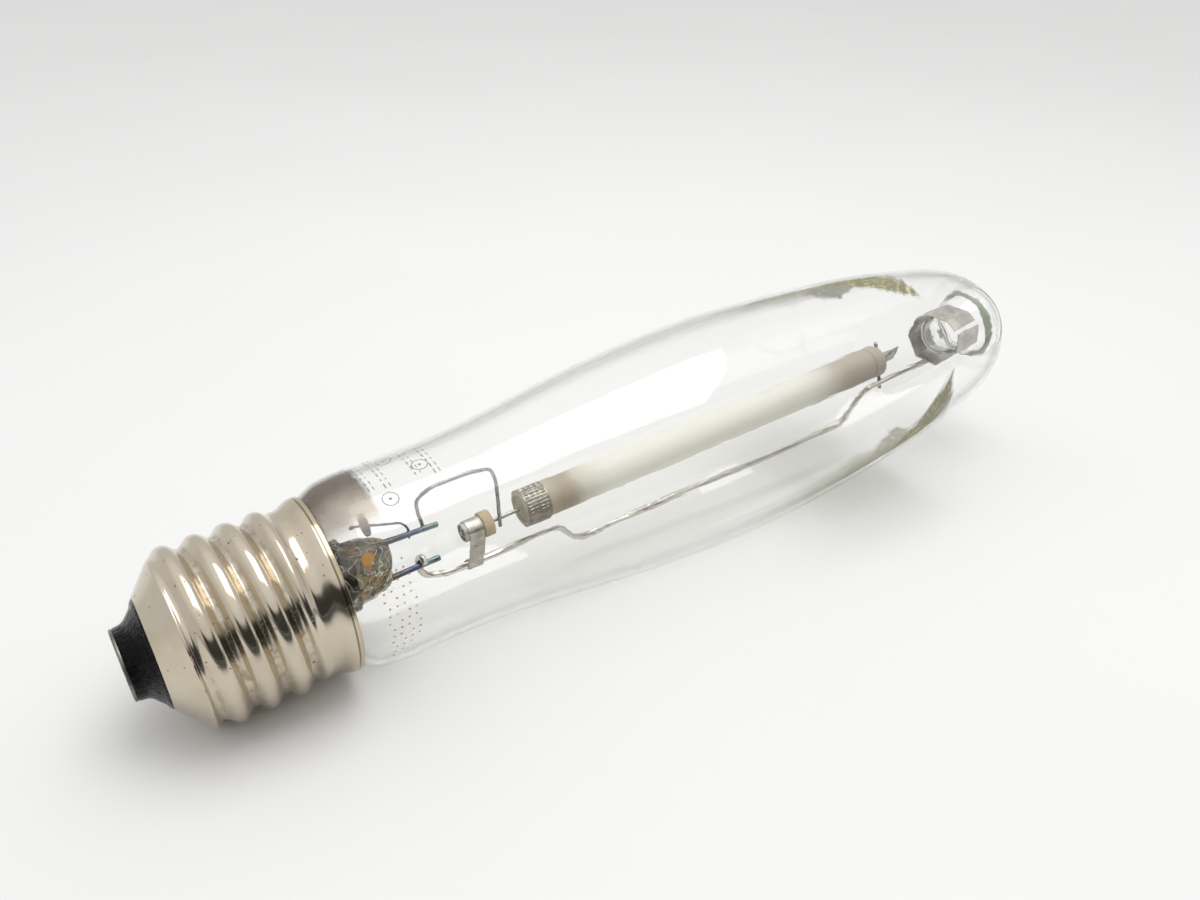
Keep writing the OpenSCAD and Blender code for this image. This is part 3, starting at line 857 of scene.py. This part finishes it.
def film_sheet(name, low_x, high_x, material, span=None, well=False):
    """Thin sheet in the envelope's wall, round it or over a span of azimuths in degrees."""
    top = np.argmax(VACUUM_WALL[:, 0])
    side = VACUUM_WALL[top:] if well else VACUUM_WALL[:top]
    keep = side[(side[:, 0] > low_x) & (side[:, 0] < high_x)]
    lining = beside(keep, FILM_DEPTH)
    if span is None:
        part = turned_part(lining, 160, closed=False)
        piece(name, [part], material, crease=75)
        return
    a = np.radians(np.linspace(span[0], span[1], 120))
    grid = np.array([[(x, r * math.cos(t), r * math.sin(t)) for t in a] for x, r in lining])
    rows, cols = grid.shape[:2]
    faces = [(i * cols + k, i * cols + k + 1, (i + 1) * cols + k + 1, (i + 1) * cols + k)
             for i in range(rows - 1) for k in range(cols - 1)]
    piece(name, [(grid.reshape(-1, 3), faces)], material, crease=75)


def films():
    """Metal left on the glass: the neck mirror, the olive film near the dome and the well's green ring."""
    film_sheet("neck_mirror", 36, 57, getter_mirror(), span=(20, 170))
    film_sheet("dome_film_ring", DOME_FILM_X0, DOME_FILM_X1 + 3, olive_film())
    film_sheet("well_film_ring", RING_X - 2, RING_X + 2, green_ring(), well=True)


def stem():
    """Flare, and the press that grips the leads: a lump with a flat, rounded end."""
    flare = smooth([(NECK_END_X, 13.9), (23, 12.7), (28, 10.4), (34, 8.6), (41, 8.2), (47, 8.3)], 6)
    inner = smooth([(45.4, 0.0), (44.6, 3.4), (42, 6.0), (34, 7.2), (28, 9), (23, 11.2), (NECK_END_X, 12.4)], 6)
    parts = [turned_part(np.vstack([flare, [(47, 0)], inner]), 96)]
    sides = 72
    stations = smooth([(45.6, 8.1, 6.6), (47.4, 8.2, 6.2), (50, 8.15, 5.2), (52.6, 7.8, 4.1), (54.8, 7.0, 3.2),
                       (56.2, 5.9, 2.4), (56.9, 4.4, 1.5), (57.15, 2.2, 0.7)], 5)
    rings = []
    a = around(sides)
    for x, wide, deep in stations:
        c, s = np.cos(a), np.sin(a)
        rings.append(np.stack([np.full(sides, x), wide * np.sign(c) * np.abs(c)**0.85 + 0.6,
                               deep * np.sign(s) * np.abs(s)**0.85], 1))
    points, faces = rings_part(rings)
    points = ripple(points, 0.55, 3.4, seed=1.7)
    parts.append((in_mount(points), faces))
    piece("stem_press", parts, seal_glass(), ["stem"], crease=70)


# ---------- generic marks on the glass ----------

def on_neck(x, azimuth, sideways):
    """Place on the neck's outside, sideways millimetres round it from an azimuth in degrees."""
    top = np.argmax(AIR_WALL[:, 0])
    r = np.interp(x, AIR_WALL[:top, 0], AIR_WALL[:top, 1]) + MARK_LIFT
    t = math.radians(azimuth) + sideways / r
    return x, r * math.cos(t), r * math.sin(t)


def mark_patch(x, azimuth, along, across, steps=4):
    """A small curved patch of ink on the neck, centred at x and azimuth in degrees."""
    out = [on_neck(x + (i - 0.5) * along, azimuth, (k / steps - 0.5) * across)
           for i in range(2) for k in range(steps + 1)]
    n = steps + 1
    return np.array(out), [(k, k + 1, n + k + 1, n + k) for k in range(steps)]


def mark_ring(x, azimuth, r_in, r_out, sides=40):
    """A small round outline of ink on the neck."""
    out = [on_neck(x + r * math.cos(k / sides * TAU), azimuth, r * math.sin(k / sides * TAU))
           for r in (r_in, r_out) for k in range(sides)]
    faces = [(k, (k + 1) % sides, sides + (k + 1) % sides, sides + k) for k in range(sides)]
    return np.array(out), faces


def marks():
    """Plain bars, rings and dots where the lamp is stamped, with no lettering."""
    grey, orange = [], []
    for row, (x, first, count) in enumerate(((54.0, 74, 6), (57.4, 70, 7), (64.4, 80, 5), (68.2, 78, 6))):
        for k in range(count):
            long = 1.5 if (k + row) % 3 else 0.8
            grey.append(mark_patch(x, first + 5.4 * k, 0.32, long))
            grey.append(mark_patch(x + 1.1, first + 5.4 * k, 0.26, long * 0.8))
    for x, az in ((60.8, 79), (66.4, 96), (57.0, 112)):
        grey.append(mark_ring(x, az, 1.55, 1.8))
        grey.append(mark_ring(x, az, 0.0001, 0.35, sides=20))
    for row in range(4):
        for k in range(11):
            orange.append(mark_ring(47.8 + 1.9 * row + 0.35 * (k % 3), 206 - 4.6 * k - 5 * row,
                                    0.0001, 0.27, sides=14))
    piece("stamp_marks", grey, grey_ink("stamp_ink", (0.16, 0.155, 0.15)))
    piece("dot_marks", orange, grey_ink("dot_ink", (0.55, 0.20, 0.06)))


# ---------- wires ----------

ROD_ROUTE = [(64.2, 4.6, -1.7), (64.2, 4.3, 0.2), (64, 5.4, 1.3), (63.8, 8.2, 1.5), (64.9, 11, 1.2),
             (68.3, 12.3, 0.4), (74, 12.6, 0), (86, 12.9, 0), (96.5, 12.6, 0), (100.2, 13.2, 0),
             (102.6, 15.7, 0), (105.1, 18.9, 0), (108.6, 20.2, 0), (116, 20, 0), (151, ROD_RUN, 0),
             (190, ROD_RUN, 0), (195.4, 19.5, 0), (198, 16.6, 0), (200.2, 12.8, 0), (203.4, 10.2, 0),
             (209, 9.7, 0), (218, 9.2, 0), (231, 8.8, 0)]
LOOP_ROUTE = [(65.6, -2.6, BEHIND), (65.4, -4.9, BEHIND), (64.5, -9.6, 0.7), (64.6, -13.2, 0.3),
              (66.4, -14.9, 0), (72.4, -15.6, 0), (79.2, -15.1, 0), (82, -14.1, 0), (83, -11.6, -0.2),
              (83.4, -7, -0.5), (83.6, 0.6, -NIOBIUM_R - LOOP_R), (83.8, 3.4, -NIOBIUM_R - LOOP_R)]
GETTER_ROUTE = [(48.8, -14.3, -1.5), (51.2, -13.7, -1.45), (53.8, -11.9, -0.7), (57.8, -9.3, 0.5),
                (60.6, -7.6, 0.9), (61.9, -5.4, 1), (62.1, -2.3, 1)]


def leads():
    """The two leads, from inside the press to their cut tips."""
    metal = blued_lead()
    for name, root, end in (("upper_lead", (46, -5.6, 0), (68.6, -4.2, 0)),
                            ("lower_lead", (46, 7.1, 0), (68.5, 6.2, 0))):
        path = np.linspace(np.array(root, float), np.array(end, float), 40)
        points, faces = wire_part(path, LEAD_R, sides=32)
        points = ripple(points, 0.03, 1.4, seed=len(name))
        piece(name + "_wire", [(in_mount(points), faces)], metal, [name])


def routed_wire(name, route, r, material, node, nuggets=(), sides=24, wobble=0.025):
    """A wire of the frame with the weld nuggets on it."""
    path = smooth(route, 12)
    path = ripple(path, wobble, 9.0, seed=r * 7)
    parts = [wire_part(path, r, sides=sides)]
    for k, (centre, radii) in enumerate(nuggets):
        parts.append(blob_part(centre, radii, seed=k + r))
    piece(name, mounted(parts), material, [node])


def wires():
    """Getter wire and ring, conductor loop, frame rod and cross wire."""
    dark = wire_metal("dark_wire_metal", (0.115, 0.10, 0.09), (0.05, 0.045, 0.04), 0.3, 0.5)
    grey = wire_metal("grey_wire_metal", (0.30, 0.285, 0.265), (0.18, 0.17, 0.165), 0.24, 0.38)
    rod = wire_metal("rod_metal", (0.70, 0.67, 0.62), (0.62, 0.59, 0.54), 0.16, 0.24)
    routed_wire("getter_wire_run", GETTER_ROUTE, 0.27, dark, "getter_wire",
                nuggets=(((62.0, -4.6, 0.85), (0.5, 0.42, 0.3)), ((49.0, -14.2, -1.5), (0.5, 0.42, 0.42))),
                sides=16)
    channel = bent([(1.45, 0.35), (1.45, -0.35), (2.35, -0.35), (2.35, 0.35)], 0.12, 3)
    a = around(64)
    inner = beside(channel, 0.14)[::-1]
    ring = [np.stack([r * np.cos(a), r * np.sin(a), np.full(64, z)], 1)
            for r, z in np.vstack([channel, inner])]
    points, faces = rings_part(ring, closed=True)
    points = turn(turn(points, (0, 1, 0), math.radians(108)), (0, 0, 1), math.radians(-20))
    piece("getter_channel", [(in_mount(points + np.array([52.3, -12.1, 0.1])), faces)],
          dark, ["getter_ring"])
    routed_wire("conductor_loop_wire", LOOP_ROUTE, LOOP_R, grey, "conductor_loop",
                nuggets=(((65.5, -4.4, 0.86), (0.62, 0.5, 0.4)), ((83.5, 1.3, -0.5), (0.5, 0.5, 0.32))))
    routed_wire("frame_rod_wire", ROD_ROUTE, ROD_R, rod, "frame_rod", sides=32, wobble=0.008,
                nuggets=(((64.05, 6.35, 1.05), (0.85, 0.8, 0.5)),))
    path = np.linspace(np.array([204.4, -4.4, TUBE_R + 0.45]), np.array([210.6, 13, ROD_R + 0.45]), 60)
    path = ripple(path, 0.05, 4.0)
    parts = [wire_part(path, 0.5, sides=20), blob_part((205.9, -0.1, TUBE_R + 0.1), (0.8, 0.7, 0.35), seed=5),
             blob_part((209.6, 9.9, ROD_R + 0.05), (0.8, 0.7, 0.4), seed=6)]
    piece("cross_wire_bar", mounted(parts), grey, ["cross_wire"])


# ---------- sliding bush ----------

def bush():
    """Ferrule, ceramic bush, the niobium lead through it and the strap that holds the ferrule."""
    strip = strip_metal()
    bore, sleeve_r, flange_r = NIOBIUM_R + 0.1, 1.84, 3.1
    ferrule_end, inner = BUSH_U + FERRULE_LEN, 1.86
    tube = [(BUSH_U, 1.95), (BUSH_U + 0.05, inner), (ferrule_end, inner), (ferrule_end, FERRULE_R),
            (BUSH_U + 0.12, FERRULE_R), (BUSH_U + 0.02, FERRULE_R - 0.08)]
    arc_piece("ferrule_tube", turned_part(tube, 96), strip, "bush_ferrule")
    flange0, flange1 = ferrule_end + 0.02, BUSH_U + 7.3
    body = [(BUSH_U + 0.5, bore), (BUSH_U + 0.4, bore + 0.15), (BUSH_U + 0.4, sleeve_r - 0.2),
            (BUSH_U + 0.55, sleeve_r), (flange0, sleeve_r), (flange0, flange_r - 0.3),
            (flange0 + 0.08, flange_r - 0.08), (flange0 + 0.3, flange_r), (flange1 - 0.3, flange_r),
            (flange1 - 0.08, flange_r - 0.08), (flange1, flange_r - 0.3), (flange1, bore + 0.2),
            (flange1 - 0.15, bore)]
    points, faces = turned_part(np.array(body), 96)
    sandy = ripple(points, 0.03, 1.1), faces
    arc_piece("bush_ceramic", sandy, steatite(), "ceramic_bush")
    niobium = wire_metal("niobium_metal", (0.47, 0.45, 0.43), (0.24, 0.23, 0.22), 0.26, 0.42)
    path = np.linspace(np.array([BUSH_U - 0.3, 0, 0]), np.array([2.2, 0, 0]), 50)
    arc_piece("niobium_lead_wire", wire_part(path, NIOBIUM_R), niobium, "niobium_lead")
    strap(strip)
    return niobium


def strap(material):
    """Strip wrapped round the ferrule, with a leg that runs down and hooks the frame rod."""
    strap_x, width, thick, at = 75.1, 3.9, 0.4, 1.66
    wrap = FERRULE_R + thick / 2 + 0.01
    a = np.radians(np.linspace(25, 270, 46))
    round_ferrule = np.stack([at + wrap * np.cos(a), wrap * np.sin(a)], 1)
    rod_front = -ROD_R - thick / 2
    leg = bent([(at + 0.05, -wrap), (at + 2.2, -wrap), (9.2, rod_front - 0.75), (11.2, rod_front),
                (13.75, rod_front), (13.75, 0.95), (12.0, 0.95)], 0.9, 6)
    flat = np.vstack([round_ferrule, leg[1:]])
    path = np.stack([np.full(len(flat), strap_x + width / 2), flat[:, 0], flat[:, 1]], 1)
    rings = sweep_rings(path, strip_section(width, thick), up=(1, 0, 0))
    parts = [rings_part(rings)]
    parts.append(blob_part((strap_x + 1.5, 5.1, -wrap - 0.16), (0.55, 0.5, 0.12), seed=2))
    parts.append(blob_part((strap_x + 2.0, 12.6, rod_front - 0.14), (0.6, 0.45, 0.1), seed=4))
    piece("bush_strap_strip", mounted(parts), material, ["bush_strap"])


# ---------- arc tube ----------

def arc_tube():
    """Ceramic tube with square-cut, softened ends, and its plugs."""
    bore = ARC_R - 0.8
    wall = [(0.25, bore), (0.0, bore + 0.15), (0.0, ARC_R - 0.4), (0.07, ARC_R - 0.15), (0.28, ARC_R - 0.02),
            (0.6, ARC_R)]
    far = [(ARC_LEN - u, r) for u, r in wall[::-1]]
    alumina = sintered_alumina()
    arc_piece("arc_tube_wall", turned_part(np.array(wall + far), 128), alumina, "arc_tube")
    plug = [(0.4, NIOBIUM_R + 0.02), (0.3, 0.9), (0.4, 1.6), (0.55, 2.4), (0.5, bore - 0.2), (0.4, bore),
            (6, bore), (6, NIOBIUM_R + 0.02)]
    points, faces = turned_part(np.array(plug), 96)
    frit = blob_part((0.3, 0, 0), (0.55, 1.15, 1.15), seed=8, lumps=0.25)
    parts = [(in_arc(ripple(points, 0.04, 1.0)), faces), (in_arc(frit[0]), frit[1])]
    piece("base_plug_frit", parts, sealing_frit(), ["base_end_plug"])
    plug = [(ARC_LEN - 0.45, TUBE_R + 0.02), (ARC_LEN - 0.25, TUBE_R + 0.5), (ARC_LEN - 0.3, bore - 0.2),
            (ARC_LEN - 0.4, bore), (ARC_LEN - 6, bore), (ARC_LEN - 6, TUBE_R + 0.02)]
    arc_piece("dome_plug_face", turned_part(np.array(plug), 96), alumina, "dome_end_plug")


def heat_band():
    """Foil band: plain on one side, with rows of welded teeth on the side that overlaps."""
    u0, u1, r, thick = 0.25, 6.3, ARC_R + 0.03, 0.17
    sides, rows = 420, 84
    tooth_rows, tooth_step = 4, math.radians(9.5)
    a = around(sides)
    seam0, seam1 = math.radians(148), math.radians(262)
    inside = np.clip(np.minimum(a - seam0, seam1 - a) / math.radians(4), 0, 1)
    across = np.maximum(0, np.cos(a / tooth_step * TAU))**0.7
    rings = []
    for u in np.linspace(u0, u1, rows):
        row = (u - u0 - 0.25) / (u1 - u0 - 0.5) * tooth_rows
        ridge = max(0.0, math.sin(math.pi * (row % 1.0)))**0.8 if 0 < row < tooth_rows else 0.0
        lift = 0.17 * ridge * across * inside + 0.03 * inside
        rr = r + thick + lift
        rings.append(ring_at(u, rr, a))
    rings += [ring_at(u, r, a) for u in (u1, u0)]
    foil = rings_part(rings, closed=True)
    arc_piece("heat_band_foil", foil, band_foil(), "heat_band", crease=65)


def niobium_tube(material):
    """Exhaust tube of the arc tube: round, then pinched flat and flared to a slanted cut."""
    sides = 56
    start, end = ARC_LEN - 4, ARC_LEN + 7.6
    a = around(sides)
    stations = smooth([(start, TUBE_R, TUBE_R), (ARC_LEN + 1, TUBE_R, TUBE_R),
                       (ARC_LEN + 2.4, TUBE_R - 0.02, 1.4), (ARC_LEN + 4.2, 1.55, 0.95),
                       (ARC_LEN + 6, 1.75, 0.5), (end, 1.92, 0.30)], 9)
    rings = []
    for u, wide, deep in stations:
        slant = np.clip((u - ARC_LEN - 2.5) / (end - ARC_LEN - 2.5), 0, 1)
        across = wide * np.cos(a)
        rings.append(np.stack([u - slant * 0.42 * across, across, deep * np.sin(a)], 1))
    last = rings[-1]
    mid = last.mean(0)
    rings.append(mid + (last - mid) * np.array([1, 0.93, 0.6]) + np.array([0.08, 0, 0]))
    rings.append(mid + (last - mid) * np.array([1, 0.9, 0.3]) - np.array([0.12, 0, 0]))
    points, faces = rings_part(rings)
    creased = ripple(points, 0.05, 1.6), faces
    arc_piece("niobium_tube_pinched", creased, material, "niobium_tube")


# ---------- dome support ----------

def dome_clip():
    """Strip bent round the glass well, split at one side and welded to the frame rod."""
    width, thick = 8.6, 0.4
    corners = [(-9.4, 4.9), (-9.3, -1), (-2.7, -7.9), (4.9, -7.8), (8.4, -1.7), (5.7, 4.9), (1.6, 7.3),
               (-5.5, 7.5), (-8.1, 5.5)]
    pulled = [np.array(c) * (1 - thick / 2 / np.linalg.norm(c)) for c in corners]
    flat = bent(pulled, 0.7, 5)
    path = np.stack([np.full(len(flat), width / 2), flat[:, 0], flat[:, 1]], 1)
    rings = sweep_rings(path, strip_section(width, thick, edge=0.14), up=(1, 0, 0))
    points, faces = rings_part(rings)
    points = turn(turn(points, (0, 1, 0), math.radians(-4)), (0, 0, 1), math.radians(2))
    piece("dimple_clip_strip", [(points + np.array([225.9, 0, -0.4]), faces)],
          strip_metal(), ["dimple_clip"])


# ---------- CAD nodes that stay ----------

def dress_cad():
    """Finishes for the sealed inner pieces, which keep their CAD shapes."""
    tungsten = wire_metal("tungsten_metal", (0.20, 0.20, 0.21), (0.09, 0.09, 0.10), 0.3, 0.5)
    copper = wire_metal("tinned_copper", (0.62, 0.46, 0.33), (0.40, 0.33, 0.27), 0.25, 0.45)
    finishes = {"base_electrode": tungsten, "base_coil": tungsten, "dome_electrode": tungsten,
                "dome_coil": tungsten, "centre_wire": copper, "side_wire": copper,
                "exhaust_tube": seal_glass()}
    for name, material in finishes.items():
        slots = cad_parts[name].data.materials
        if len(slots):
            slots[0] = material
        else:
            slots.append(material)


# ---------- stage ----------

def resting_tilt():
    """Angle of the table under the lamp, which rests on its cap's first crest and its bulb."""
    slopes = [(r - CREST_R) / (x - CONE_X) for x, r in AIR_WALL if x > 100]
    return math.atan(max(slopes))


def stage():
    """Pale floor that meets the cap and the bulb, and its dark far edge, seen only in the gloss."""
    tilt = resting_tilt()
    normal = Vector((math.sin(tilt), 0, math.cos(tilt)))
    touch = Vector((CONE_X, 0, -CREST_R)) * MM
    bpy.ops.mesh.primitive_plane_add(size=9.0)
    floor = bpy.context.object
    floor.name = "studio_floor_plane"
    floor.rotation_euler = normal.to_track_quat("Z", "Y").to_euler()
    centre = Vector((0.12, 0, 0))
    floor.location = centre - normal * ((centre - touch).dot(normal))
    floor.data.materials.append(studio_floor())
    corners = ((-1.5, -2.0), (1.5, -2.0), (1.5, FLOOR_EDGE), (-1.5, FLOOR_EDGE))
    lift = 0.0005
    verts = [(x, y, touch.z - (x - touch.x) * normal.x / normal.z + lift) for x, y in corners]
    mesh = bpy.data.meshes.new("dark_floor_edge")
    mesh.from_pydata(verts, [], [(0, 1, 2, 3)])
    edge = bpy.data.objects.new("dark_floor_edge", mesh)
    bpy.context.scene.collection.objects.link(edge)
    mesh.materials.append(dark_floor())
    edge.visible_camera = edge.visible_diffuse = edge.visible_transmission = edge.visible_shadow = False


def light(name, at, toward, size, power):
    """A soft square light, places in metres."""
    data = bpy.data.lights.new(name, "AREA")
    data.shape = "RECTANGLE"
    data.size, data.size_y = size
    data.energy = power
    obj = bpy.data.objects.new(name, data)
    bpy.context.scene.collection.objects.link(obj)
    obj.location = at
    obj.rotation_euler = (Vector(toward) - Vector(at)).to_track_quat("-Z", "Y").to_euler()


def lights():
    """A soft box overhead in a bright room with a dim wall low on the photographer's side.

    The camera itself sees that wall as bright."""
    light("overhead_box", (0.24, -0.02, 0.60), (0.12, 0, 0), (0.50, 0.44), 1.5)
    world = bpy.data.worlds.new("studio")
    bpy.context.scene.world = world
    world.use_nodes = True
    room = Nodes(world.node_tree)
    way = room.node("ShaderNodeTexCoord").outputs["Generated"]
    _, across, up = room.node("ShaderNodeSeparateXYZ", Vector=way).outputs
    sky = room.span(up, 0.3, 0.95, 0.92, 1.25)
    wall = room.times(room.span(across, -0.66, -0.36, 1.0, 0.0), room.span(up, 0.38, 0.54, 1.0, 0.0))
    dim = room.span(wall, 0.0, 1.0, 1.0, 0.07)
    seen = room.node("ShaderNodeLightPath").outputs["Is Camera Ray"]
    back = room.tree.nodes["Background"]
    room.feed(back.inputs["Color"], room.times(sky, room.math("MAXIMUM", dim, seen)))
    back.inputs["Strength"].default_value = 0.81


def camera():
    """The photograph's viewpoint: beside the cap, looking down along the lamp."""
    place = Vector((2.095, -182.216, 140.566)) * MM
    look = Vector((0.43776, 0.72351, -0.53376))
    up = Vector((0.33051, 0.42260, 0.84390))
    right = look.cross(up).normalized()
    data = bpy.data.cameras.new("camera")
    data.sensor_width = 36.0
    data.lens = 31.61
    data.clip_start = 0.01
    data.clip_end = 20
    obj = bpy.data.objects.new("camera", data)
    bpy.context.scene.collection.objects.link(obj)
    turned = Matrix((right, right.cross(look), -look)).transposed().to_4x4()
    obj.matrix_world = Matrix.Translation(place) @ turned
    bpy.context.scene.camera = obj


# ---------- build ----------

camera()
stage()
lights()
contact()
insulator()
screw_shell()
rim_solder()
cement()
envelope()
films()
marks()
stem()
leads()
wires()
niobium = bush()
arc_tube()
heat_band()
niobium_tube(niobium)
dome_clip()
dress_cad()

bpy.context.scene.view_settings.view_transform = "Standard"

bpy.context.view_layer.update()
